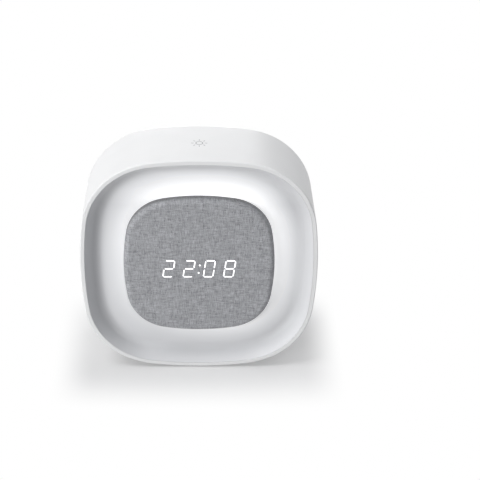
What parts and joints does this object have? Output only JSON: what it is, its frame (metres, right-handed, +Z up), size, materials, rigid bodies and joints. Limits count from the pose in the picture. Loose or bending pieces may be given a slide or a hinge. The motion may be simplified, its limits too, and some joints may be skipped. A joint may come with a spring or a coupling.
{
  "type": "night light alarm clock",
  "caption": "Squircle desk clock with a cloth-covered digital display in a lit, dished front, a touch lamp control on top, and rear keys and power inlet.",
  "frame": {"origin": "middle of the footprint on the surface that the feet stand on", "axes": "+Z up, the display faces -Y, +X to the right seen from the front"},
  "size_m": [0.112, 0.038, 0.1125],
  "materials": {
    "shell_white": "satin moulded plastic with a very fine texture",
    "diffuser": "milky translucent diffuser",
    "key_white": "satin moulded plastic",
    "cloth": "grey slub weave",
    "foot_rubber": "matte silicone",
    "smoke_plastic": "smoked translucent",
    "black_plastic": "moulded",
    "segment_glow": "white light pipe",
    "board_green": "solder mask",
    "board_white": "white solder mask",
    "lamp_yellow": "phosphor lens",
    "connector_ivory": "moulded nylon",
    "bright_steel": "plated",
    "cell_foil": "laminated foil",
    "foam_tape": "closed-cell foam",
    "copper_foil": "copper foil",
    "ribbon_grey": "flat cable",
    "lead_red": "insulated wire"
  },
  "bodies": {
    "case": {"outer_shell": "shell_white", "reflector_dish": "diffuser", "rear_cover": "shell_white", "foot_pads": "foot_rubber", "fabric_cover": "cloth", "display_cap": "smoke_plastic", "display_carrier": "black_plastic", "segment_frame": "black_plastic", "digit_segments": "segment_glow", "display_board": "board_green", "light_board": "board_white", "ring_leds": "lamp_yellow", "main_board": "board_green", "control_chip": "black_plastic", "board_connectors": "connector_ivory", "switch_bodies": "black_plastic", "usb_socket": "bright_steel", "buzzer": "black_plastic", "battery_cell": "cell_foil", "battery_tape": "foam_tape", "touch_pad": "copper_foil", "display_ribbon": "ribbon_grey", "light_lead": "lead_red", "touch_lead": "lead_red", "battery_lead": "lead_red", "screw_plugs": "shell_white", "cover_screws": "bright_steel", "dish_screws": "bright_steel", "light_screws": "bright_steel", "carrier_screws": "bright_steel", "board_screws": "bright_steel"},
    "menu_key": {"menu_button": "key_white", "menu_stem": "black_plastic"},
    "alarm_key": {"alarm_button": "key_white", "alarm_stem": "black_plastic"},
    "up_key": {"up_button": "key_white", "up_stem": "black_plastic"},
    "down_key": {"down_button": "key_white", "down_stem": "black_plastic"}
  },
  "joints": [
    {"name": "menu_press", "type": "slide", "parent": "case", "child": "menu_key", "axis": [0, -1, 0], "range_m": [0, 0.0005], "stiffness_N_per_m": 1500},
    {"name": "alarm_press", "type": "slide", "parent": "case", "child": "alarm_key", "axis": [0, -1, 0], "range_m": [0, 0.0005], "stiffness_N_per_m": 1500},
    {"name": "up_press", "type": "slide", "parent": "case", "child": "up_key", "axis": [0, -1, 0], "range_m": [0, 0.0005], "stiffness_N_per_m": 1500},
    {"name": "down_press", "type": "slide", "parent": "case", "child": "down_key", "axis": [0, -1, 0], "range_m": [0, 0.0005], "stiffness_N_per_m": 1500}
  ]
}
